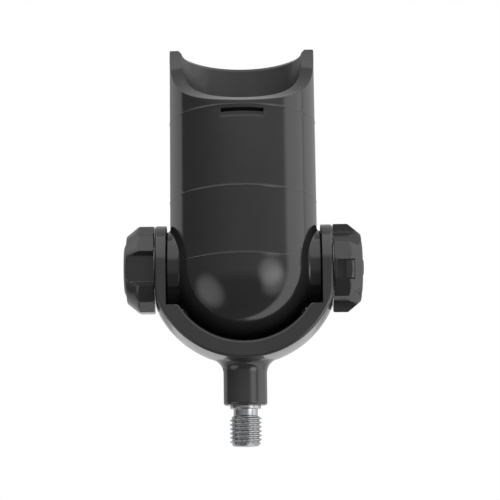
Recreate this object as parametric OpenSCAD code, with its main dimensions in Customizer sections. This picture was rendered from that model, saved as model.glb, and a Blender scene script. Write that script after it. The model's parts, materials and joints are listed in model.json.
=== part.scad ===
// Tilting rod cup: a round cup pivots in a U-shaped yoke, is clamped by a
// thumb knob on each side, and stands on a threaded stud.
// Origin: centre of the stem's bottom face, where the stud leaves it.
// +Z up, +X along the pivot axis, the scooped side of the cup faces -Y.

/* [Cup] */
// Outside diameter of the cup
cup_d = 44.3; // [42.3:0.5:44.3]
// Wall thickness of the cup
cup_wall = 3.7; // [3.7:0.1:4.2]
// Height of the rim above the pivot
rim_h = 69.4; // [60:0.2:90]
// Lean of the cup away from upright, towards +Y
cup_tilt = 5; // [0:0.5:10]
// Width of the chamfer inside the mouth
mouth_chamfer = 1; // [0.4:0.2:2]
// Radius of the scoop that cuts away the front of the rim
scoop_r = 45.1; // [44.1:0.5:48.1]
// Height of the scoop's centre above the rim
scoop_lift = 17.9; // [16.9:0.5:20.9]
// Distance of the scoop's centre in front of the cup's axis
scoop_reach = 40.9; // [39.9:0.1:41.4]
// Width of the slot in the front wall
slot_w = 12.5; // [8:0.5:16]
// Height of the slot in the front wall
slot_h = 2.2; // [1.5:0.1:3]
// Height of the slot above the pivot
slot_z = 42.9; // [35.9:0.2:42.9]
// Diameter of the round pivot bosses on the cup's sides
boss_d = 22.8; // [20:0.2:24]
// How far a boss face stands out from the cup's side
boss_proud = 0.75; // [0.7:0.05:1.2]

/* [Yoke] */
// Height of the pivot axis above the stem's bottom face
pivot_h = 41; // [38:0.2:50]
// Thickness of each arm
arm_t = 3.4; // [2.6:0.1:4]
// Depth of the yoke, front to back
yoke_depth = 26.4; // [24:0.2:28]
// Running space between the cup and the yoke's curved base
bowl_gap = 0.5; // [0.4:0.05:0.95]
// Thickness of the yoke's curved base at its middle
bowl_t = 6.25; // [5:0.05:6.4]
// Draft: how much thinner the base is at its front and back faces
bowl_draft = 1.1; // [0.2:0.1:1.5]
// Radius of the relief that lets the bosses turn inside the arms
relief_r = 17.8; // [16:0.2:18]
// Depth of the relief's flat floor below the pivot
relief_floor = 14; // [13:0.2:14.4]
// Diameter of the stem
stem_d = 13; // [12:0.2:16]
// Radius of the fillet where the stem meets the base
stem_fillet = 3; // [2:0.5:3.5]
// Radius of the rounded bottom edge of the stem
stem_round = 0.8; // [0.2:0.1:1.5]

/* [Stud] */
// Major diameter of the stud's thread, 3/8 inch
stud_d = 9.525; // [9.525]
// Length of the stud below the stem
stud_len = 12.1; // [10:0.1:20]
// Diameter of the plain neck between collar and thread
neck_d = 7.2; // [6:0.1:8]
// Distance from the stem's bottom face to the start of the thread
neck_len = 3.1; // [2:0.1:4]
// Height of the collar against the stem
collar_h = 1; // [0.6:0.1:1.6]
// Height of the chamfer at the stud's end
stud_chamfer = 1.1; // [0.5:0.1:1.5]
// Height of the stud's part moulded into the stem
root_len = 14; // [10:0.5:16]

/* [Knobs] */
// Largest diameter of the knobs
knob_d = 26.8; // [25:0.2:30]
// Width of a knob along the pivot axis
knob_w = 9.2; // [9.2:0.1:11]
// Number of finger lobes round a knob
lobes = 3; // [3:1:3]
// Angle that each valley between two lobes takes up
valley_angle = 44; // [36:1:46]
// Depth of a valley below the knob's largest radius
valley_depth = 3.2; // [2:0.1:3.3]
// Width of a valley's flat floor
valley_floor = 7.8; // [4:0.2:8]
// How far the left knob is turned, front side down
left_turn = 5; // [-10:1:10]
// How far the right knob is turned, front side down
right_turn = 9; // [-10:1:10]
// Diameter of the clamping screws
screw_d = 6; // [5:0.5:6]
// Thickness of the steel washer between knob and arm
thrust_t = 1; // [0.8:0.1:1.2]
// Thickness of the soft washer between boss and arm
friction_t = 0.8; // [0.7:0.1:0.9]

/* [Hidden] */
$fn = 96;
left = -1;
right = 1;
thin = 0.05;              // running clearance on faces and shafts
past = 1;                 // how far a cutter passes the face it cuts

cup_r = cup_d / 2;
bore_r = cup_r - cup_wall;
boss_r = boss_d / 2;
boss_face = cup_r + boss_proud;
bowl_in = cup_r + bowl_gap;
bowl_out = bowl_in + bowl_t;
screw_r = screw_d / 2;

// Stations along the pivot axis, as distances from the middle
friction_x = boss_face - 0.6;
insert_x = bore_r + 1;
arm_in = friction_x + friction_t + thin;
arm_out = arm_in + arm_t;
thrust_x = arm_out + thin;
knob_x = arm_out + 0.15;
knob_seat = thrust_x + thrust_t + thin;
knob_end = knob_x + knob_w;
head_x = knob_seat + 2.5;
head_h = 3.8;
cap_x = head_x + head_h + 0.2;

insert_r = screw_r + 1.3;
insert_groove = 0.4;
friction_r = boss_r - 2.4;
thrust_r = 9;
head_r = screw_r * 1.92;
cap_r = 8;
knob_body_end = knob_end - 0.9;
knob_r = knob_d / 2;
lobe_angle = 360 / lobes - valley_angle;
facets = 3;

// Puts the pivot axis of a side part along local +Z, outwards
module on_side(side) {
    translate([0, 0, pivot_h]) rotate([0, 90 * side, 0]) children();
}

// How far a knob and its screw are turned about their own axis
function knob_turn(side) = side == right ? right_turn : 180 - left_turn;

// The cup's own upright frame, with its centre on the pivot
module on_cup() {
    translate([0, 0, pivot_h]) rotate([-cup_tilt, 0, 0]) children();
}

// A ring between two stations on the local Z axis
module ring(r_out, r_in, z0, z1) {
    translate([0, 0, z0]) difference() {
        cylinder(r = r_out, h = z1 - z0);
        translate([0, 0, -past]) cylinder(r = r_in, h = z1 - z0 + 2 * past);
    }
}

// The grooved outline of a threaded insert, without its hole
module insert_body() {
    step = (friction_x - insert_x) / 3;
    translate([0, 0, insert_x]) {
        cylinder(r = insert_r, h = step);
        cylinder(r = insert_r - insert_groove, h = 3 * step);
        translate([0, 0, 2 * step]) cylinder(r = insert_r, h = step);
    }
}

// The part of the stud that the stem is moulded round
module stud_root() {
    head = 4;
    translate([0, 0, -past]) cylinder(r = neck_d / 2, h = root_len + past);
    translate([0, 0, root_len - head]) cylinder(r = neck_d * 0.72, h = head, $fn = 6);
    translate([0, 0, head / 2]) cylinder(r = neck_d * 0.62, h = head);
}

module cup() {
    color("#222224") on_cup() difference() {
        union() {
            sphere(r = cup_r);
            cylinder(r = cup_r, h = rim_h);
            for (side = [left, right]) rotate([0, 90 * side, 0])
                cylinder(r = boss_r, h = boss_face);
        }
        sphere(r = bore_r);
        cylinder(r = bore_r, h = rim_h + past);
        translate([0, 0, rim_h - mouth_chamfer])
            cylinder(r1 = bore_r, r2 = bore_r + mouth_chamfer + past, h = mouth_chamfer + past);
        translate([0, -scoop_reach, rim_h + scoop_lift]) rotate([0, 90, 0])
            cylinder(r = scoop_r, h = cup_d + 2 * past, center = true, $fn = 180);
        translate([-slot_w / 2, -cup_r - past, slot_z - slot_h / 2])
            cube([slot_w, cup_r, slot_h]);
        for (side = [left, right]) rotate([0, 90 * side, 0]) {
            insert_body();
            translate([0, 0, friction_x]) cylinder(r = friction_r + 0.1, h = past);
        }
    }
}

module yoke() {
    head_r = yoke_depth / 2;
    base_z = pivot_h - bowl_out;
    stem_r = stem_d / 2;
    flare_r = stem_r + 0.7 * stem_fillet;
    fillet_z = base_z - 0.94 * stem_fillet;
    color("#222224") difference() {
        union() {
            intersection() {
                // curved base and arms, seen from the front
                translate([0, 0, pivot_h]) rotate([90, 0, 0]) union() {
                    for (face = [0, 1]) mirror([0, 0, face])
                        cylinder(r1 = bowl_out, r2 = bowl_out - bowl_draft, h = yoke_depth / 2, $fn = 180);
                    translate([-arm_out, 0, -yoke_depth / 2])
                        cube([2 * arm_out, head_r, yoke_depth]);
                }
                // rounded arm heads, seen from the side
                translate([0, 0, pivot_h]) rotate([0, 90, 0]) union() {
                    cylinder(r = head_r, h = 2 * arm_out, center = true);
                    translate([0, -head_r, -arm_out])
                        cube([bowl_out + past, yoke_depth, 2 * arm_out]);
                }
            }
            // stem with its fillet and rounded foot
            translate([0, 0, stem_round]) cylinder(r = stem_r, h = base_z);
            cylinder(r = stem_r - stem_round, h = stem_round);
            translate([0, 0, stem_round]) rotate_extrude()
                translate([stem_r - stem_round, 0]) circle(r = stem_round, $fn = 48);
            translate([0, 0, fillet_z]) rotate_extrude() difference() {
                square([flare_r, stem_fillet]);
                translate([stem_r + stem_fillet, 0]) circle(r = stem_fillet, $fn = 48);
            }
            translate([0, 0, fillet_z + 0.96 * stem_fillet])
                cylinder(r1 = flare_r, r2 = flare_r + 2, h = 2.4);
        }
        // bowl that the cup turns in, and the open space above it
        translate([0, 0, pivot_h]) rotate([90, 0, 0]) {
            cylinder(r = bowl_in, h = yoke_depth + 2 * past, center = true, $fn = 180);
            translate([-bowl_in, 0, -head_r - past])
                cube([2 * bowl_in, head_r + past, yoke_depth + 2 * past]);
        }
        // relief for the bosses, and the screw holes
        translate([0, 0, pivot_h]) rotate([0, 90, 0]) {
            intersection() {
                cylinder(r = relief_r, h = 2 * arm_in, center = true);
                translate([-relief_r, -relief_r, -arm_in])
                    cube([relief_r + relief_floor, 2 * relief_r, 2 * arm_in]);
            }
            cylinder(r = screw_r + thin, h = 2 * arm_out + 2 * past, center = true);
        }
        stud_root();
    }
}

module threaded_stud() {
    thread_len = stud_len - neck_len;
    color("#b9bbbe") union() {
        intersection() {
            stud_root();
            cylinder(r = stem_d / 2, h = root_len);
        }
        translate([0, 0, -collar_h]) cylinder(r = stud_d / 2 - 0.06, h = collar_h);
        translate([0, 0, -neck_len]) cylinder(r = neck_d / 2, h = neck_len);
        translate([0, 0, -neck_len - thread_len + stud_chamfer])
            cylinder(r = stud_d / 2, h = thread_len - stud_chamfer);
        translate([0, 0, -stud_len])
            cylinder(r1 = stud_d / 2 - stud_chamfer, r2 = stud_d / 2, h = stud_chamfer);
    }
}

module insert(side) {
    color("#b08d4a") on_side(side) difference() {
        insert_body();
        translate([0, 0, insert_x - past])
            cylinder(r = screw_r + thin, h = friction_x - insert_x + 2 * past);
    }
}

module friction_washer(side) {
    color("#161616") on_side(side)
        ring(friction_r, screw_r + 1, friction_x, friction_x + friction_t);
}

module thrust_washer(side) {
    color("#a9abae") on_side(side)
        ring(thrust_r, screw_r + thin, thrust_x, thrust_x + thrust_t);
}

module clamp_screw(side) {
    tip_x = insert_x + 0.4;
    color("#a9abae") on_side(side) rotate([0, 0, knob_turn(side)]) {
        translate([0, 0, tip_x]) cylinder(r = screw_r, h = head_x + 0.5 - tip_x);
        translate([0, 0, head_x]) cylinder(r = head_r, h = head_h, $fn = 6);
    }
}

// Turned outline of a knob, before its lobes are cut
module knob_blank() {
    rim_r = knob_r + 0.3;
    rotate_extrude() polygon([
        [0, knob_x], [rim_r, knob_x], [rim_r, knob_x + 0.45 * knob_w],
        [cap_r + 2.1, knob_body_end], [0, knob_body_end]
    ]);
}

// Cross-section of the lobes, each with flat facets, first lobe towards -Y
module lobe_outline() {
    polygon([
        for (lobe = [0 : lobes - 1], edge = [0 : facets])
            let (a = lobe * 360 / lobes - 90 + lobe_angle * (edge / facets - 0.5))
            knob_r * [cos(a), sin(a)]
    ]);
}

module knob(side) {
    // a valley's walls lean outwards and pass just outside the lobes' end edges
    floor_x = knob_r - valley_depth;
    edge_x = knob_r * cos(valley_angle / 2);
    edge_y = knob_r * sin(valley_angle / 2) + 0.15;
    lean = (edge_y - valley_floor / 2) / (edge_x - floor_x);
    top_x = edge_x + 2;
    top_y = edge_y + 2 * lean;
    pocket = [6, 2.2, 5.2];
    color("#242426") on_side(side) rotate([0, 0, knob_turn(side)]) difference() {
        intersection() {
            knob_blank();
            linear_extrude(height = knob_end + past) lobe_outline();
        }
        for (valley = [0 : lobes - 1])
            rotate([0, 0, 90 + 180 / lobes + valley * 360 / lobes])
                translate([0, 0, knob_x - past]) linear_extrude(height = knob_w + 2 * past)
                    polygon([[-floor_x, -valley_floor / 2], [-floor_x, valley_floor / 2],
                             [-top_x, top_y], [-top_x, -top_y]]);
        // moulded pocket in the middle facet of one lobe, with a raised step left in it
        translate([-pocket.x / 2, -knob_r, knob_x + 0.85]) difference() {
            cube(pocket);
            translate([0.5, 1.3, pocket.z / 2]) cube([pocket.x - 1, pocket.y, pocket.z]);
        }
        // washer seat, screw hole, head pocket and cap recess
        translate([0, 0, knob_x - past]) cylinder(r = thrust_r + 0.15, h = knob_seat - knob_x + past);
        translate([0, 0, knob_x]) cylinder(r = screw_r, h = head_x + 0.5 - knob_x);
        translate([0, 0, head_x]) cylinder(r = head_r, h = head_h + 0.5, $fn = 6);
        translate([0, 0, cap_x]) cylinder(r = cap_r, h = knob_w);
    }
}

// The left cap is flat with a bevelled edge, the right one is slightly coned with a small raised centre
module knob_cap(side) {
    pip_r = 2.3;
    flat_face = [[cap_r, knob_end - 0.5], [cap_r - 1.2, knob_end - 0.1], [0, knob_end - 0.1]];
    coned_face = [[cap_r, knob_end - 0.6], [pip_r, knob_end - 0.3], [pip_r, knob_end], [0, knob_end]];
    color("#2a2a2c") on_side(side) rotate_extrude()
        polygon(concat([[0, cap_x], [cap_r, cap_x]], side == left ? flat_face : coned_face));
}

yoke();
threaded_stud();
cup();
insert(left);  // left_insert
insert(right);  // right_insert
friction_washer(left);  // left_friction_washer
friction_washer(right);  // right_friction_washer
thrust_washer(left);  // left_thrust_washer
thrust_washer(right);  // right_thrust_washer
knob(left);  // left_knob
knob(right);  // right_knob
clamp_screw(left);  // left_clamp_screw
clamp_screw(right);  // right_clamp_screw
knob_cap(left);  // left_knob_cap
knob_cap(right);  // right_knob_cap
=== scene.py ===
import json
import math

import bpy
import bmesh
from mathutils import Matrix, Vector


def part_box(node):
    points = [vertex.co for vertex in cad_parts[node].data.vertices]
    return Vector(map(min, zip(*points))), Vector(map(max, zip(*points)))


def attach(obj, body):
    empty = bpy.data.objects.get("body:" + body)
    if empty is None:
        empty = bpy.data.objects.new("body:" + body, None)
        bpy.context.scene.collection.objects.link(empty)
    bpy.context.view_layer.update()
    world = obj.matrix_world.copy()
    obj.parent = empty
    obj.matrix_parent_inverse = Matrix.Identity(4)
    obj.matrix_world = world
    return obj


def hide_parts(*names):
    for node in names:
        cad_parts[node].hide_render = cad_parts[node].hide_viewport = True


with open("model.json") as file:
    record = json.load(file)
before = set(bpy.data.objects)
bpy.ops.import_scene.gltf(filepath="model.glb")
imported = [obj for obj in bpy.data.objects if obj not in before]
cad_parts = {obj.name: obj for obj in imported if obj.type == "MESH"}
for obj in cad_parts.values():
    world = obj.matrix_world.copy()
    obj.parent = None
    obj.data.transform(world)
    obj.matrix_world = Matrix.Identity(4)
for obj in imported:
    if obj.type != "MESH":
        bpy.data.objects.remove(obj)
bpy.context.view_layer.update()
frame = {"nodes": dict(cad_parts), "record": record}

# ---------------------------------------------------------------- the frame's own sizes, in millimetres

MM = 0.001


def box_mm(node):
    """A CAD node's lowest and highest corners in millimetres."""
    low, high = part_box(node)
    return Vector(low) / MM, Vector(high) / MM


def mount(name):
    return next(m for m in frame["record"]["mounts"] if m["name"] == name)


def joint(name):
    return next(j for j in frame["record"]["behaviour"]["joints"] if j["name"] == name)


PIVOT = joint("cup_tilt")["pos_m"][2] / MM
MOUTH = Vector(mount("cup_bore")["axis"])
LEAN = math.atan2(MOUTH.y, MOUTH.z)
BORE_R = mount("cup_bore")["dims"]["r_mm"]
STUD_R = mount("stud")["dims"]["r_mm"]
ARM_OUT = box_mm("yoke")[1].x
HALF_DEPTH = box_mm("yoke")[1].y
BOSS_FACE = box_mm("cup")[1].x
ARM_IN = box_mm("right_friction_washer")[1].x + 0.05
KNOB_IN, KNOB_OUT = box_mm("right_knob")[0].x, box_mm("right_knob")[1].x
CAP_TOP = {1: box_mm("right_knob_cap")[1].x, -1: -box_mm("left_knob_cap")[0].x}
CAP_FLOOR = box_mm("right_knob_cap")[0].x
CAP_R = box_mm("right_knob_cap")[1].y
STUD_END = box_mm("threaded_stud")[0].z

# Sizes that the drawing gives and no mount or box does
WALL = 3.7
CUP_R = BORE_R + WALL
RIM = 69.4
MOUTH_CHAMFER = 1.0
SCOOP_R, SCOOP_LIFT, SCOOP_REACH = 45.1, 17.9, 40.9
SLOT_HALF_W, SLOT_LOW, SLOT_HIGH = 6.25, 41.8, 44.0
WITNESS_LINES = (20.3, 45.1)
BOSS_R = 11.4
BOWL_IN = CUP_R + 0.5
BOWL_OUT = BOWL_IN + 6.25
BOWL_DRAFT, ARM_DRAFT = 1.1, 0.35
# Radius of the bosses' relief inside the arms, and depth of its flat floor below the pivot
RELIEF_R, RELIEF_FLOOR = 17.8, 14.0
STEM_R = 6.5
KNOB_R = 13.4
# Turn of each knob's first lobe from the front, downwards on the right and over the top on the left
KNOB_TURN = {1: math.radians(9), -1: math.radians(180 - 5)}
SCREW_R = 3.0

# ---------------------------------------------------------------- mesh helpers


def smooth_min(values, soft):
    """The least of several values, with the corners between them rounded over about soft."""
    least = min(values)
    return least - soft * math.log(sum(math.exp((least - v) / soft) for v in values))


def rounded(corners, steps=4):
    """A polyline through (a, b, radius) corners, each rounded by an arc of the same number of steps."""
    line = []
    for i, (a, b, radius) in enumerate(corners):
        here = Vector((a, b))
        if radius == 0 or i in (0, len(corners) - 1):
            line.append(here)
            continue
        back = Vector(corners[i - 1][:2]) - here
        ahead = Vector(corners[i + 1][:2]) - here
        turn = back.angle(ahead)
        reach = radius / math.tan(turn / 2)
        reach = min(reach, back.length * 0.49, ahead.length * 0.49)
        radius = reach * math.tan(turn / 2)
        centre = here + (back.normalized() + ahead.normalized()).normalized() * (radius / math.sin(turn / 2))
        start = here + back.normalized() * reach - centre
        end = here + ahead.normalized() * reach - centre
        for k in range(steps + 1):
            line.append(centre + start.slerp(end, k / steps) * radius)
    return line


def skin(rings):
    """A closed mesh through rings of equal length. A ring of one point is a pole."""
    bm = bmesh.new()
    rows = [[bm.verts.new(p) for p in ring] for ring in rings]
    for low, high in zip(rows, rows[1:]):
        n = max(len(low), len(high))
        for k in range(n):
            m = (k + 1) % n
            quad = [low[k % len(low)], low[m % len(low)], high[m % len(high)], high[k % len(high)]]
            face = list(dict.fromkeys(quad))
            if len(face) > 2:
                bm.faces.new(face)
    if len(rows[0]) > 2:
        bm.faces.new(list(reversed(rows[0])))
    if len(rows[-1]) > 2:
        bm.faces.new(rows[-1])
    bmesh.ops.recalc_face_normals(bm, faces=bm.faces)
    return bm


def round_turns(steps):
    return [2 * math.pi * k / steps for k in range(steps)]


def circle(radius, height, steps):
    return [Vector((radius * math.cos(t), radius * math.sin(t), height)) for t in round_turns(steps)]


def lathe(profile, steps):
    """Rings of a profile of (radius, height) points turned round local Z."""
    return [circle(radius, height, steps) if radius > 1e-6 else [Vector((0, 0, height))]
            for radius, height in profile]


def fillet_height(size, share):
    """A quarter-round fillet's height over the surface it meets, at a share of its width from the wall."""
    return size * (1 - math.sqrt(max(0.0, 1 - (1 - share) ** 2)))


def make(name, bm, place=Matrix.Identity(4)):
    """Turns a mesh built in local millimetres into an object in metres."""
    bmesh.ops.transform(bm, matrix=Matrix.Scale(MM, 4) @ place, verts=bm.verts)
    mesh = bpy.data.meshes.new(name)
    bm.to_mesh(mesh)
    bm.free()
    piece = bpy.data.objects.new(name, mesh)
    bpy.context.scene.collection.objects.link(piece)
    return piece


def boolean(piece, tool, operation):
    """Joins or cuts a piece with another mesh and throws the tool away."""
    step = piece.modifiers.new("step", "BOOLEAN")
    step.operation, step.solver, step.object = operation, "EXACT", tool
    graph = bpy.context.evaluated_depsgraph_get()
    piece.data = bpy.data.meshes.new_from_object(piece.evaluated_get(graph))
    piece.modifiers.remove(step)
    bpy.data.objects.remove(tool)


def soften(piece, width, angle, pick):
    """Rounds the edges sharper than angle whose middle, in millimetres, passes the test."""
    bm = bmesh.new()
    bm.from_mesh(piece.data)
    bmesh.ops.remove_doubles(bm, verts=bm.verts, dist=1e-6)
    sharp = [e for e in bm.edges if len(e.link_faces) == 2 and e.calc_face_angle() > math.radians(angle)
             and pick((e.verts[0].co + e.verts[1].co) / 2 / MM)]
    bmesh.ops.bevel(bm, geom=sharp, offset=width * MM, segments=2, profile=0.5, affect="EDGES",
                    clamp_overlap=True)
    bm.to_mesh(piece.data)
    bm.free()


def finish_shading(piece):
    """Smooth shading that stays crisp on edges sharper than 42 degrees."""
    piece.data.shade_smooth()
    piece.data.set_sharp_from_angle(angle=math.radians(42))
    normals = piece.modifiers.new("normals", "WEIGHTED_NORMAL")
    normals.keep_sharp = True


def on_side(side):
    """Local +Z along the pivot axis, outwards, with local -Y kept towards the front."""
    return Matrix.Translation((0, 0, PIVOT)) @ Matrix.Rotation(side * math.pi / 2, 4, "Y")


ON_CUP = Matrix.Translation((0, 0, PIVOT)) @ Matrix.Rotation(-LEAN, 4, "X")

# ---------------------------------------------------------------- cup


def scoop_height(y):
    """Height of the rim's top surface at depth y: flat at the back, an arc at the front."""
    reach = y + SCOOP_REACH
    if reach >= SCOOP_R * 0.999:
        return RIM
    arc = RIM + SCOOP_LIFT - math.sqrt(SCOOP_R ** 2 - reach ** 2)
    return smooth_min([RIM, arc], 0.12)


def cup_columns():
    """Pairs of angles, outer and inner, that put edge columns on the slot's sides and the ears' corners."""
    ear = -SCOOP_REACH + math.sqrt(SCOOP_R ** 2 - SCOOP_LIFT ** 2)
    front, back = -math.pi / 2, math.pi / 2
    near = 1.2
    keys = [
        (front, front, 7),
        (front + math.asin(SLOT_HALF_W / CUP_R), front + math.asin(SLOT_HALF_W / BORE_R), 28),
        (math.asin((ear - near) / CUP_R), math.asin((ear - near) / BORE_R), 10),
        (math.asin((ear + near) / CUP_R), math.asin((ear + near) / BORE_R), 34),
        (back, back, 0),
    ]
    half = []
    for (o0, i0, n), (o1, i1, _) in zip(keys, keys[1:]):
        half += [(o0 + (o1 - o0) * k / n, i0 + (i1 - i0) * k / n) for k in range(n)]
    half.append((back, back))
    mirror = [(math.pi - o, math.pi - i) for o, i in half[-2:0:-1]]
    return half + mirror


RIDGE, RIDGE_HALF_W = 0.08, 0.14


def wall_rows(radius, top, ridge):
    """Points up a wall: spaced rows, rows on the slot's edges, and low ridges on the witness lines."""
    rows = [0.9, 3.5, 7, 10.5, 14, 17.5, 19.6, 21, 24, 27, 30, 33, 36, 39, 40.9, SLOT_LOW, 42.9, SLOT_HIGH]
    points = [(radius, z) for z in rows]
    for line in WITNESS_LINES:
        points += [(radius, line - RIDGE_HALF_W), (radius + ridge, line), (radius, line + RIDGE_HALF_W)]
    points.sort(key=lambda p: p[1])
    start = points[-1][1]
    points += [(radius, start + (top - start) * f) for f in (0.25, 0.5, 0.75)]
    return points


def cup_section(outer, inner):
    """One column's points (radius, height, angle), from the outer pole over the rim to the inner pole."""
    lip_h, fade_h, seam = 0.6, 2.0, 0.02
    dome = [math.radians(-90 + 90 * k / 30) for k in range(1, 30)]
    out_top = scoop_height(CUP_R * math.sin(outer))
    # the mouth's chamfer is cut where the rim is whole, and fades out down the scoop
    at_ear = max(0.0, min(1.0, (out_top - RIM + fade_h) / fade_h))
    lip_r = BORE_R + MOUTH_CHAMFER * at_ear + seam
    in_top = scoop_height(lip_r * math.sin(inner))
    bore_top = min(in_top, scoop_height(BORE_R * math.sin(inner))) - (MOUTH_CHAMFER * at_ear) - seam
    ball = CUP_R - 0.01
    points = [(ball * math.cos(a), ball * math.sin(a), outer) for a in dome]
    points += [(ball, -RIDGE_HALF_W, outer), (ball + RIDGE, 0, outer), (CUP_R, RIDGE_HALF_W, outer)]
    points += [(r, z, outer) for r, z in wall_rows(CUP_R, out_top - lip_h, RIDGE)]
    middle = (CUP_R + lip_r) / 2
    mid_angle = (outer + inner) / 2
    lip = rounded([
        (CUP_R, out_top - lip_h, 0), (CUP_R, out_top, 0.3),
        (middle, scoop_height(middle * math.sin(mid_angle)), 0),
        (lip_r, in_top, 0.22), (BORE_R, bore_top, 0.2), (BORE_R, bore_top - 0.7, 0),
    ])
    for p in lip[1:]:
        share = (CUP_R - p.x) / (CUP_R - BORE_R)
        points.append((p.x, p.y, outer + (inner - outer) * share))
    points += [(r, z, inner) for r, z in reversed(wall_rows(BORE_R, bore_top - 0.9, 0))]
    points.append((BORE_R, 0, inner))
    points += [(BORE_R * math.cos(a), BORE_R * math.sin(a), inner) for a in reversed(dome)]
    return points


def cut_slot(bm):
    """Opens the slot between matching outer and inner faces, walls it round and returns its outer edges."""
    window = []
    for face in bm.faces:
        c = face.calc_center_median()
        if abs(c.x) < SLOT_HALF_W and SLOT_LOW < c.z < SLOT_HIGH and c.y < 0:
            window.append(face)
    edge_count = {}
    for face in window:
        for e in face.edges:
            edge_count[e] = edge_count.get(e, 0) + 1
    rim = [e for e, n in edge_count.items() if n == 1]
    outer = [e for e in rim if e.verts[0].co.xy.length > (CUP_R + BORE_R) / 2]
    corners_in = list(dict.fromkeys(v for e in rim if e not in outer for v in e.verts))
    spread = math.asin(SLOT_HALF_W / BORE_R) / math.asin(SLOT_HALF_W / CUP_R)

    def along(vert):
        return math.atan2(vert.co.x, -vert.co.y) * BORE_R

    def apart(vert, other):
        return abs(other.co.z - vert.co.z) * 10 + abs(along(other) - along(vert) * spread)

    pairs = {v: min(corners_in, key=lambda w: apart(v, w)) for e in outer for v in e.verts}
    bmesh.ops.delete(bm, geom=window, context="FACES_ONLY")
    for e in outer:
        a, b = e.verts
        bm.faces.new([a, b, pairs[b], pairs[a]])
    bmesh.ops.recalc_face_normals(bm, faces=bm.faces)
    return outer


def build_cup():
    sections = [cup_section(outer, inner) for outer, inner in cup_columns()]
    rings = [[Vector((0, 0, -CUP_R))]]
    for level in zip(*sections):
        rings.append([Vector((r * math.cos(a), r * math.sin(a), z)) for r, z, a in level])
    rings.append([Vector((0, 0, -BORE_R))])
    bm = skin(rings)
    slot_edges = cut_slot(bm)
    bmesh.ops.bevel(bm, geom=slot_edges, offset=0.18, segments=2, profile=0.5, affect="EDGES",
                    clamp_overlap=True)
    piece = make("rod_cup", bm, ON_CUP)
    for side in (-1, 1):
        boolean(piece, boss(side), "UNION")
        boolean(piece, boss_pocket(side), "DIFFERENCE")
    return piece


def cup_surface(y, z):
    """Distance of the cup's outer surface from the middle, sideways, in the cup's own frame."""
    return math.sqrt(CUP_R ** 2 - y * y - min(z, 0) ** 2)


def boss(side):
    """A round pivot boss whose foot flares into the cup's wall."""
    steps, foot, sunk, edge_round = 144, 0.8, 0.06, 0.4
    outwards = Matrix.Rotation(side * math.pi / 2, 4, "Y")
    edge = rounded([(0, BOSS_FACE, 0), (BOSS_R, BOSS_FACE, edge_round), (BOSS_R, CUP_R - 6, 0)], 6)
    rings = [[Vector((0, 0, BOSS_FACE))]]
    rings += [circle(p.x, p.y, steps) for p in edge[1:-1]]
    for k in range(13):
        share = k / 12
        ring = circle(BOSS_R + foot * share, 0, steps)
        for point in ring:
            on_cup = outwards @ point
            wall = cup_surface(on_cup.y, on_cup.z)
            height = wall + fillet_height(foot, share) - sunk * share ** 4
            point.z = min(height, BOSS_FACE - edge_round - 0.05)
        rings.append(ring)
    under = BORE_R + 0.35
    rings.append(circle(BOSS_R - 1, under, steps))
    rings.append([Vector((0, 0, under))])
    return make("boss", skin(rings), ON_CUP @ outwards)


def boss_pocket(side):
    """The hole for the brass insert and the recess for the soft washer."""
    floor = box_mm("right_insert")[0].x
    recess = box_mm("right_friction_washer")[0].x
    insert_r = box_mm("right_insert")[1].y
    recess_r = box_mm("right_friction_washer")[1].y + 0.1
    profile = [(0, floor), (insert_r, floor), (insert_r, recess), (recess_r, recess),
               (recess_r, BOSS_FACE + 1), (0, BOSS_FACE + 1)]
    return make("pocket", skin(lathe(profile, 96)), on_side(side))


# ---------------------------------------------------------------- yoke


# Radius at which lengths along the yoke's U are measured, and the length of a quarter of it
BEND_R = 26
QUARTER = math.pi / 2 * BEND_R


def base_reach(y):
    """Radius of the base's underside at depth y: less towards its front and back faces."""
    return BOWL_OUT - BOWL_DRAFT * (abs(y) / HALF_DEPTH) ** 1.3


def arm_reach(y):
    """Distance of an arm's outer face from the middle at depth y."""
    return ARM_OUT - ARM_DRAFT * (abs(y) / HALF_DEPTH) ** 1.3


def yoke_point(s, y, outside):
    """A point on the yoke's inner or outer face, s along its U and y across."""
    side = 1 if s >= 0 else -1
    blend = 0.25
    if abs(s) <= QUARTER:
        angle = abs(s) / BEND_R
        reach = BOWL_IN
        if outside:
            reach = smooth_min([base_reach(y), arm_reach(y) / max(math.sin(angle), 0.01)], blend)
        return Vector((side * reach * math.sin(angle), y, PIVOT - reach * math.cos(angle)))
    x = smooth_min([base_reach(y), arm_reach(y)], blend) if outside else BOWL_IN
    return Vector((side * x, y, PIVOT + (abs(s) - QUARTER)))


def stadium(inset):
    """Points (s, y) round the flat strip that is bent into the yoke, drawn in from its edge by inset."""
    steps_round, steps_side = 36, 56
    r = max(HALF_DEPTH - inset, 0)
    line = []
    for side in (1, -1):
        for k in range(steps_round + 1):
            a = -math.pi / 2 + math.pi * k / steps_round
            line.append((side * (QUARTER + r * math.cos(a)), side * r * math.sin(a)))
        for k in range(1, steps_side):
            line.append((side * QUARTER * (1 - 2 * k / steps_side), side * r))
    return line


def yoke_ring(inset, share_outside):
    """A ring round the strip's edge, a share of the way from its inner face to its outer face."""
    return [yoke_point(s, y, False).lerp(yoke_point(s, y, True), share_outside) for s, y in stadium(inset)]


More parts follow.
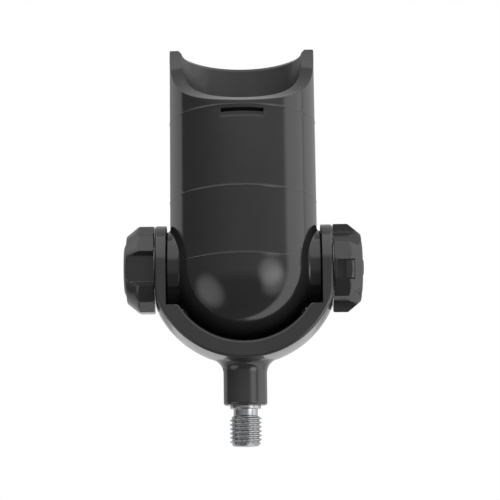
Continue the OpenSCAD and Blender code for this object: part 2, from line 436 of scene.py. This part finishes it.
def build_yoke():
    inner_round, outer_round = 0.65, 0.7
    thick = ARM_OUT - BOWL_IN
    fill = [min(inset, HALF_DEPTH - 0.02) for inset in (13.2, 11.5, 9, 6.5, 4, 2.2, 1.3)]
    rings = [yoke_ring(inset, 0) for inset in fill]
    for k in range(4):
        a = math.pi / 2 * k / 3
        rings.append(yoke_ring(inner_round * (1 - math.sin(a)), inner_round * (1 - math.cos(a)) / thick))
    rings += [yoke_ring(0, 0.1 + 0.16 * k) for k in range(1, 4)]
    for k in range(7):
        a = math.pi / 2 * k / 6
        rings.append(yoke_ring(outer_round * (1 - math.cos(a)), 1 - outer_round * (1 - math.sin(a)) / thick))
    rings += [yoke_ring(inset, 1) for inset in reversed(fill)]
    bm = skin(rings)
    bmesh.ops.remove_doubles(bm, verts=bm.verts, dist=0.01)
    piece = make("yoke_frame", bm)
    boolean(piece, stem(), "UNION")
    boolean(piece, relief_tool(), "DIFFERENCE")
    soften(piece, 0.25, 40, lambda p: abs(p.x) < ARM_IN - 0.1 and p.z < PIVOT
           and abs(math.hypot(p.y, p.z - PIVOT) - RELIEF_R) < 0.1)
    return piece


def stem():
    """The stem, with a rounded foot, a hole for the stud's root and a fillet that follows the base."""
    steps, flare, foot, sunk, hole_r = 96, 3.0, 0.8, 0.06, 3.62
    hole_top = box_mm("threaded_stud")[1].z
    foot_line = rounded([(0, hole_top, 0), (hole_r, hole_top, 0), (hole_r, 0, 0), (STEM_R, 0, foot),
                         (STEM_R, 6, 0)], 6)
    rings = [[Vector((0, 0, hole_top))]]
    rings += lathe([(p.x, p.y) for p in foot_line[1:-1]], steps)
    for k in range(15):
        share = k / 14
        ring = circle(STEM_R + flare * share, 0, steps)
        for point in ring:
            underside = PIVOT - math.sqrt(base_reach(point.y) ** 2 - point.x ** 2)
            point.z = underside - fillet_height(flare, share) + sunk * share ** 4
        rings.append(ring)
    top = PIVOT - BOWL_IN - 2
    rings.append(circle(STEM_R, top, steps))
    rings.append([Vector((0, 0, top))])
    return make("stem", skin(rings))


def relief_tool():
    """The open space for the bosses between the arms, with the screw holes through them."""
    hole = SCREW_R + 0.06
    past = ARM_OUT + 2
    profile = [(0, -past), (hole, -past), (hole, -ARM_IN), (RELIEF_R, -ARM_IN),
               (RELIEF_R, ARM_IN), (hole, ARM_IN), (hole, past), (0, past)]
    rings = lathe(profile, 180)
    # local +X points down here, so this makes the relief's floor flat
    for ring in rings:
        for point in ring:
            point.x = min(point.x, RELIEF_FLOOR)
    return make("relief", skin(rings), on_side(1))


# ---------------------------------------------------------------- stud


def thread_radius(z, around, low, high, neck_r):
    """The stud's radius at height z, a share of a turn around: rounded teeth that fade out at both ends."""
    pitch, depth, chamfer, flat = 1.27, 0.72, 1.1, 0.14
    tooth = abs(2 * ((z / pitch - around) % 1.0) - 1)
    tooth = max(0.0, min(1.0, (tooth - flat) / (1 - 2 * flat)))
    tooth = tooth * tooth * (3 - 2 * tooth) * 0.35 + tooth * 0.65
    r = STUD_R - 0.01 - depth * (1 - tooth)
    r = min(r, STUD_R - chamfer + (z - low))
    return min(r, neck_r + (high - z) * 1.6)


def build_stud():
    """Collar, neck and right-hand thread. The root inside the stem is a plain neck and head."""
    steps, rows = 96, 132
    collar, collar_r, neck_r, neck_low = 1.0, STUD_R - 0.2, 3.6, 3.1
    root_r, root_h, root_top = 4.9, 4, box_mm("threaded_stud")[1].z
    low, high = STUD_END, -neck_low + 0.1
    upper = rounded([
        (0, root_top, 0), (root_r, root_top, 0.3), (root_r, root_top - root_h, 0.3),
        (neck_r, root_top - root_h, 0), (neck_r, 0, 0), (collar_r, 0, 0.1), (collar_r, -collar, 0.2),
        (neck_r, -collar, 0.2), (neck_r, high, 0),
    ], 4)
    rings = [[Vector((0, 0, root_top))]] + lathe([(p.x, p.y) for p in upper[1:]], steps)
    for k in range(1, rows + 1):
        z = high + (low - high) * k / rows
        ring = []
        for c in range(steps):
            turn = 2 * math.pi * c / steps
            r = thread_radius(z, c / steps, low, high, neck_r)
            ring.append(Vector((r * math.cos(turn), r * math.sin(turn), z)))
        rings.append(ring)
    dimple = 0.12
    rings += lathe([(2.4, low), (2.2, low + dimple), (0, low + dimple)], steps)
    return make("stud_thread", skin(rings))


# ---------------------------------------------------------------- knobs


def knob_radius(angle, turned):
    """Distance of a knob's surface from its axis: faceted lobes with flat-floored valleys between them."""
    lobes, facets, valley = 3, 3, math.radians(44)
    lobe = 2 * math.pi / lobes - valley
    apothem = KNOB_R * math.cos(lobe / facets / 2)
    floor_x, floor_y = KNOB_R - 3.2, 3.9
    edge_x, edge_y = KNOB_R * math.cos(valley / 2), KNOB_R * math.sin(valley / 2) + 0.15
    lean = (edge_y - floor_y) / (edge_x - floor_x)

    def away(middle):
        return (angle - middle + math.pi) % (2 * math.pi) - math.pi

    reach = [turned]
    for i in range(lobes):
        middle = 2 * math.pi * i / lobes
        for f in range(facets):
            off = away(middle + lobe * ((f + 0.5) / facets - 0.5))
            if abs(off) < math.radians(60):
                reach.append(apothem / math.cos(off))
        off = abs(away(middle + math.pi / lobes))
        if off < math.atan2(floor_y, floor_x):
            reach.append(floor_x / math.cos(off))
        elif math.tan(min(off, 1)) < lean * 0.98:
            reach.append((floor_y - lean * floor_x) / (math.sin(off) - lean * math.cos(off)))
    return smooth_min(reach, 0.03)


def build_knob(side):
    """One thumb knob. Angle 0 is its first lobe, which carries the moulded pocket."""
    thrust_washer = box_mm("right_thrust_washer")[1]
    seat, seat_r = thrust_washer.x + 0.05, thrust_washer.y + 0.15
    shoulder = KNOB_IN + 0.45 * (KNOB_OUT + 0.9 - KNOB_IN)
    end_r = CAP_R + 2.1
    profile = rounded([
        (KNOB_R - 1.5, KNOB_IN, 0), (KNOB_R - 0.1, KNOB_IN, 0.35), (KNOB_R + 0.15, KNOB_IN + 2.2, 4),
        (KNOB_R + 0.1, shoulder, 0.6), (end_r, KNOB_OUT, 0.4), (CAP_R + 0.4, KNOB_OUT, 0),
    ], 6)
    rows = []
    for p, q in zip(profile, profile[1:]):
        pieces = max(1, int((q - p).length / 0.7))
        rows += [p.lerp(q, k / pieces) for k in range(pieces)]
    rows.append(profile[-1])
    first = KNOB_TURN[side]
    turns = round_turns(480)

    def ring(height, radius_at):
        spots = [(radius_at(t), t + first) for t in turns]
        return [Vector((r * math.sin(a), -r * math.cos(a), height)) for r, a in spots]

    def plain(radius, height):
        return ring(height, lambda t: radius)

    recess_r = CAP_R + 0.03
    rings = [plain(CAP_R * 0.6, CAP_FLOOR), plain(recess_r, CAP_FLOOR), plain(recess_r, KNOB_OUT - 0.1)]
    rings += [ring(p.y, lambda t: knob_radius(t, p.x)) for p in reversed(rows)]
    rings += [plain(seat_r + 0.15, KNOB_IN), plain(seat_r, KNOB_IN + 0.15), plain(seat_r, seat),
              plain(SCREW_R, seat), plain(SCREW_R, CAP_FLOOR - 3)]
    piece = make("thumb_knob_right" if side > 0 else "thumb_knob_left", skin(rings), on_side(side))
    boolean(piece, pocket_tool(side), "DIFFERENCE")
    return piece


def block(name, low, high, place):
    """A box between two corners of a local frame."""
    bm = bmesh.new()
    verts = bmesh.ops.create_cube(bm, size=1)["verts"]
    fit = Matrix.Translation((low + high) / 2) @ Matrix.Diagonal((*(high - low), 1))
    bmesh.ops.transform(bm, matrix=fit, verts=verts)
    return make(name, bm, place)


def pocket_tool(side):
    """The pocket in the first lobe's middle facet, less the step that stands in its outer half."""
    half_w, length, deep = 3.0, 5.2, 2.4
    step_deep, step_half_w, step_half_l = 0.75, half_w - 0.45, length / 4 - 0.1
    start = KNOB_IN + 0.85
    step_middle = start + 0.73 * length
    place = on_side(side) @ Matrix.Rotation(KNOB_TURN[side], 4, "Z")
    pocket = block("pocket_tool", Vector((-half_w, -KNOB_R - 1, start)),
                   Vector((half_w, -KNOB_R + deep, start + length)), place)
    step = block("pocket_step", Vector((-step_half_w, -KNOB_R + step_deep, step_middle - step_half_l)),
                 Vector((step_half_w, -KNOB_R + step_deep + 6, step_middle + step_half_l)), place)
    boolean(pocket, step, "DIFFERENCE")
    return pocket


def build_cap(side):
    """The knob's end cap: slightly coned with a raised centre on the right, flat with a bevel on the left."""
    top = CAP_TOP[side]
    corners = [(0, CAP_FLOOR, 0), (CAP_R, CAP_FLOOR, 0.2)]
    if side > 0:
        corners += [(CAP_R, top - 0.6, 0.25), (2.4, top - 0.3, 0.2), (2.2, top, 0.15), (0, top, 0)]
    else:
        corners += [(CAP_R, top - 0.5, 0.3), (CAP_R - 1.2, top, 0.6), (0, top, 0)]
    line = [(p.x, p.y) for p in rounded(corners, 5)]
    return make("knob_end_right" if side > 0 else "knob_end_left", skin(lathe(line, 128)), on_side(side))


# ---------------------------------------------------------------- materials


def material(name):
    """A new material, its node tree and its shader."""
    mat = bpy.data.materials.new(name)
    mat.use_nodes = True
    tree = mat.node_tree
    tree.nodes.clear()
    out = tree.nodes.new("ShaderNodeOutputMaterial")
    shader = tree.nodes.new("ShaderNodeBsdfPrincipled")
    tree.links.new(shader.outputs["BSDF"], out.inputs["Surface"])
    return mat, tree, shader


def object_noise(tree, scale, detail, stretch=(1, 1, 1)):
    """Noise fixed to the piece, finer along the axes with a larger stretch."""
    where = tree.nodes.new("ShaderNodeTexCoord")
    spread = tree.nodes.new("ShaderNodeMapping")
    spread.inputs["Scale"].default_value = stretch
    noise = tree.nodes.new("ShaderNodeTexNoise")
    noise.inputs["Scale"].default_value = scale
    noise.inputs["Detail"].default_value = detail
    tree.links.new(where.outputs["Object"], spread.inputs["Vector"])
    tree.links.new(spread.outputs["Vector"], noise.inputs["Vector"])
    return noise


def spread_value(tree, source, low, high):
    """Spreads the middle of a noise's range from low to high."""
    remap = tree.nodes.new("ShaderNodeMapRange")
    remap.inputs["From Min"].default_value = 0.3
    remap.inputs["From Max"].default_value = 0.7
    remap.inputs["To Min"].default_value = low
    remap.inputs["To Max"].default_value = high
    tree.links.new(source, remap.inputs["Value"])
    return remap.outputs["Result"]


def tinted(tree, shader, source, first, second):
    """A base colour that wanders between two colours."""
    tint = tree.nodes.new("ShaderNodeMix")
    tint.data_type = "RGBA"
    tint.inputs["A"].default_value = (*first, 1)
    tint.inputs["B"].default_value = (*second, 1)
    tree.links.new(source, tint.inputs["Factor"])
    tree.links.new(tint.outputs["Result"], shader.inputs["Base Color"])


def grained(tree, shader, source, strength, distance=0.00002):
    """A fine bump, distance metres deep at full strength."""
    bump = tree.nodes.new("ShaderNodeBump")
    bump.inputs["Strength"].default_value = strength
    bump.inputs["Distance"].default_value = distance
    tree.links.new(source, bump.inputs["Height"])
    tree.links.new(bump.outputs["Normal"], shader.inputs["Normal"])


def moulded_plastic(name, shade, rough_low, rough_high, grain):
    """Black moulded plastic: slightly uneven shade and gloss, and a fine grain."""
    mat, tree, shader = material(name)
    cloud = object_noise(tree, 90, 3).outputs["Fac"]
    tinted(tree, shader, cloud, (shade, shade, shade * 1.04), (shade * 1.5, shade * 1.5, shade * 1.56))
    wear = object_noise(tree, 320, 5).outputs["Fac"]
    tree.links.new(spread_value(tree, wear, rough_low, rough_high), shader.inputs["Roughness"])
    shader.inputs["IOR"].default_value = 1.5
    grained(tree, shader, object_noise(tree, 2600, 2).outputs["Fac"], grain)
    return mat


def turned_metal(name, colour, rough_low, rough_high, stretch):
    """Bright metal with fine tool marks that run round the part."""
    mat, tree, shader = material(name)
    marks = object_noise(tree, 900, 4, stretch).outputs["Fac"]
    tinted(tree, shader, marks, [c * 0.78 for c in colour], colour)
    tree.links.new(spread_value(tree, marks, rough_low, rough_high), shader.inputs["Roughness"])
    shader.inputs["Metallic"].default_value = 1.0
    grained(tree, shader, marks, 0.3)
    return mat


def soft_rubber(name):
    """Matt black rubber with a slightly uneven surface."""
    mat, tree, shader = material(name)
    cloud = object_noise(tree, 700, 4).outputs["Fac"]
    tinted(tree, shader, cloud, (0.012, 0.012, 0.012), (0.03, 0.03, 0.03))
    tree.links.new(spread_value(tree, cloud, 0.6, 0.85), shader.inputs["Roughness"])
    grained(tree, shader, cloud, 0.4, 0.00005)
    return mat


# ---------------------------------------------------------------- studio

# The world's brightness at half value. Angles round the horizon are degrees from the viewer, to the right,
# and heights are degrees above it.
HORIZON = [
    (-180, 0.5), (-171, 0.5), (-166, 0.16), (-157, 0.2), (-144, 0.3), (-131, 0.38), (-115, 0.46),
    (-110, 0.07), (-70, 0.13), (-20, 0.25), (30, 0.29), (68, 0.33), (75, 0.95), (110, 0.8), (111.5, 0.4),
    (113, 0.4), (114.5, 0.62), (128, 0.52), (140, 0.4), (150, 0.34), (166, 0.2), (171, 0.5), (180, 0.5),
]
# How far each part of the horizon dims towards the floor, and the heights at which it does
DIMMED = [(-180, 0.0), (-150, 0.35), (-114, 0.35), (-108, 1.0), (70, 1.0), (76, 0.0)]
BELOW = [(-25, 1.0), (-8, 0.0)]
LOW_LEVEL = 0.1
# The overhead light: the heights at which it takes over, its brightness by height, its share round the
# horizon, and the level of the rest
ABOVE = [(20, 0.0), (31, 1.0)]
OVERHEAD = [(32, 0.8), (60, 0.85), (88, 0.8)]
VIEWER_SIDE = [(-135, 0.0), (-100, 1.0), (100, 1.0), (135, 0.0)]
BACK_TOP_LEVEL = 0.31
# Soft patches of light on both sides: direction from the object, edge and core in degrees, brightness
PATCHES = [((-0.78, -0.32, -0.54), 28, 4, 0.72), ((0.67, -0.72, -0.16), 25, 3, 0.95),
           ((0.72, -0.58, -0.38), 25, 3, 0.7)]


def world_light():
    """The studio round the object: white behind it, a bright panel to the right, dim on the viewer's side."""
    world = bpy.data.worlds.new("studio")
    world.use_nodes = True
    bpy.context.scene.world = world
    tree = world.node_tree
    back = tree.nodes["Background"]
    where = tree.nodes.new("ShaderNodeTexCoord")
    split = tree.nodes.new("ShaderNodeSeparateXYZ")
    tree.links.new(where.outputs["Generated"], split.inputs["Vector"])

    def math_node(operation, a, b=0.0):
        node = tree.nodes.new("ShaderNodeMath")
        node.operation = operation
        for socket, value in zip(node.inputs, (a, b)):
            if isinstance(value, float):
                socket.default_value = value
            else:
                tree.links.new(value, socket)
        return node.outputs[0]

    def ramp(value, stops, place):
        node = tree.nodes.new("ShaderNodeValToRGB")
        elements = node.color_ramp.elements
        while len(elements) < len(stops):
            elements.new(0.5)
        for element, (angle, _) in zip(elements, stops):
            element.position = place(angle)
        for element, (_, level) in zip(elements, stops):
            element.color = (level, level, level * 1.01, 1)
        tree.links.new(value, node.inputs["Fac"])
        return node.outputs["Color"]

    def by_turn(stops):
        return ramp(turn, stops, lambda degrees: degrees / 360 + 0.5)

    def by_height(stops):
        return ramp(height, stops, lambda degrees: 0.5 + 0.5 * math.sin(math.radians(degrees)))

    def mixed(factor, first, second):
        node = tree.nodes.new("ShaderNodeMix")
        node.data_type = "RGBA"
        tree.links.new(factor, node.inputs["Factor"])
        for socket, value in (("A", first), ("B", second)):
            if isinstance(value, float):
                node.inputs[socket].default_value = (value, value, value, 1)
            else:
                tree.links.new(value, node.inputs[socket])
        return node.outputs["Result"]

    def patch(direction, edge, core, level):
        dot = tree.nodes.new("ShaderNodeVectorMath")
        dot.operation = "DOT_PRODUCT"
        dot.inputs[1].default_value = Vector(direction).normalized()
        tree.links.new(where.outputs["Generated"], dot.inputs[0])
        fade = tree.nodes.new("ShaderNodeMapRange")
        fade.interpolation_type = "SMOOTHSTEP"
        fade.inputs["From Min"].default_value = math.cos(math.radians(edge))
        fade.inputs["From Max"].default_value = math.cos(math.radians(core))
        fade.inputs["To Max"].default_value = level
        tree.links.new(dot.outputs["Value"], fade.inputs["Value"])
        return fade.outputs["Result"]

    # turn runs from 0 to 1: from straight behind by way of the left, the viewer and the right, back to behind
    turn = math_node("ARCTAN2", split.outputs["X"], math_node("MULTIPLY", split.outputs["Y"], -1.0))
    turn = math_node("ADD", math_node("DIVIDE", turn, 2 * math.pi), 0.5)
    height = math_node("ADD", math_node("MULTIPLY", split.outputs["Z"], 0.5), 0.5)
    top = mixed(by_turn(VIEWER_SIDE), BACK_TOP_LEVEL, by_height(OVERHEAD))
    light = mixed(by_height(ABOVE), by_turn(HORIZON), top)
    light = mixed(math_node("MULTIPLY", by_height(BELOW), by_turn(DIMMED)), light, LOW_LEVEL)
    for spec in PATCHES:
        extra = tree.nodes.new("ShaderNodeVectorMath")
        tree.links.new(light, extra.inputs[0])
        tree.links.new(patch(*spec), extra.inputs[1])
        light = extra.outputs["Vector"]
    tree.links.new(light, back.inputs["Color"])
    back.inputs["Strength"].default_value = 2.0


def studio():
    """Studio light and a pale floor below and behind the object."""
    world_light()
    half_size, back, drop = 2.0, 2.3, 0.30
    bm = bmesh.new()
    bmesh.ops.create_grid(bm, x_segments=2, y_segments=2, size=half_size)
    mesh = bpy.data.meshes.new("floor")
    bm.to_mesh(mesh)
    bm.free()
    floor = bpy.data.objects.new("floor", mesh)
    floor.location = (0, back, STUD_END * MM - drop)
    bpy.context.scene.collection.objects.link(floor)
    mat, tree, shader = material("floor_white")
    shader.inputs["Base Color"].default_value = (0.8, 0.8, 0.8, 1)
    shader.inputs["Roughness"].default_value = 0.9
    floor.data.materials.append(mat)


def camera():
    """The photograph's viewpoint: in front of the pivot, a little below it, looking slightly up."""
    distance, height, aside = 0.6016, -0.0819, -0.0005
    pitch, roll, yaw = math.radians(8.292), math.radians(0.709), math.radians(0.226)
    data = bpy.data.cameras.new("camera")
    data.sensor_width = 36
    data.lens = 145.5048
    eye = bpy.data.objects.new("camera", data)
    eye.location = (aside, -distance, PIVOT * MM + height)
    turn = Matrix.Rotation(-yaw, 4, "Z") @ Matrix.Rotation(math.pi / 2 + pitch, 4, "X")
    eye.rotation_mode = "QUATERNION"
    eye.rotation_quaternion = (turn @ Matrix.Rotation(-roll, 4, "Z")).to_quaternion()
    bpy.context.scene.collection.objects.link(eye)
    bpy.context.scene.camera = eye


# ---------------------------------------------------------------- assembly


def dress(piece, mat, body, slot, *nodes):
    """Finishes a piece and puts it on its body in place of its CAD nodes."""
    piece.data.materials.clear()
    piece.data.materials.append(mat)
    finish_shading(piece)
    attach(piece, body)
    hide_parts(*nodes)


def dress_faces(piece, mat, chosen):
    """Gives the faces whose middle, in millimetres, passes the test a second material."""
    piece.data.materials.append(mat)
    for face in piece.data.polygons:
        if chosen(face.center / MM):
            face.material_index = 1


def redress(node, mat):
    """Gives a CAD node that keeps its own shape a better material."""
    for holder in frame["nodes"][node].material_slots:
        holder.material = mat


def in_bore(point):
    """Whether a point is on the cup's inside wall above the pivot."""
    on_cup = ON_CUP.inverted() @ point
    return math.hypot(on_cup.x, on_cup.y) < BORE_R + 0.05 and on_cup.z > 0


def in_relief(point):
    """Whether a point is on the faces that the bosses' relief leaves in the yoke."""
    from_pivot_axis = math.hypot(point.y, point.z - PIVOT)
    from_bowl_axis = math.hypot(point.x, point.z - PIVOT)
    near_axes = from_pivot_axis < RELIEF_R + 0.05 and from_bowl_axis < ARM_IN + 4.1
    return near_axes and abs(point.x) < ARM_IN + 0.02


camera()
studio()
bpy.context.scene.view_settings.view_transform = "Standard"

black_cup = moulded_plastic("cup_gloss_black", 0.014, 0.07, 0.13, 0.08)
black_yoke = moulded_plastic("yoke_gloss_black", 0.022, 0.10, 0.17, 0.10)
inside_cup = moulded_plastic("cup_inside_satin", 0.014, 0.32, 0.42, 0.10)
# A duller, darker copy of the yoke plastic for the relief faces between the arms and the bosses. Its higher
# roughness damps the reflections there, and its darker colour is painted shade in that recess.
matt_shaded_yoke = moulded_plastic("yoke_relief_matt_painted_shade", 0.012, 0.5, 0.65, 0.10)
black_knob = moulded_plastic("knob_satin_black", 0.015, 0.14, 0.24, 0.15)
steel = turned_metal("stud_turned_steel", (0.40, 0.405, 0.41), 0.12, 0.26, (0.15, 0.15, 3))
zinc = turned_metal("screw_zinc", (0.55, 0.56, 0.57), 0.25, 0.4, (1, 1, 1))
brass = turned_metal("insert_brass", (0.72, 0.52, 0.24), 0.22, 0.38, (3, 0.3, 0.3))
rubber = soft_rubber("washer_rubber")

yoke_piece = build_yoke()
cup_piece = build_cup()
dress(cup_piece, black_cup, "cup_body", "cup_plastic", "cup")
dress_faces(cup_piece, inside_cup, in_bore)
dress(yoke_piece, black_yoke, "yoke_body", "yoke_plastic", "yoke")
# Painted shade: the relief faces in the recess get the darker, matt copy of the yoke plastic.
dress_faces(yoke_piece, matt_shaded_yoke, in_relief)
dress(build_stud(), steel, "yoke_body", "stud_steel", "threaded_stud")
for side, hand in ((-1, "left"), (1, "right")):
    dress(build_knob(side), black_knob, hand + "_knob_body", "knob_plastic", hand + "_knob")
    dress(build_cap(side), black_knob, hand + "_knob_body", "cap_plastic", hand + "_knob_cap")
    redress(hand + "_clamp_screw", zinc)
    redress(hand + "_thrust_washer", zinc)
    redress(hand + "_insert", brass)
    redress(hand + "_friction_washer", rubber)
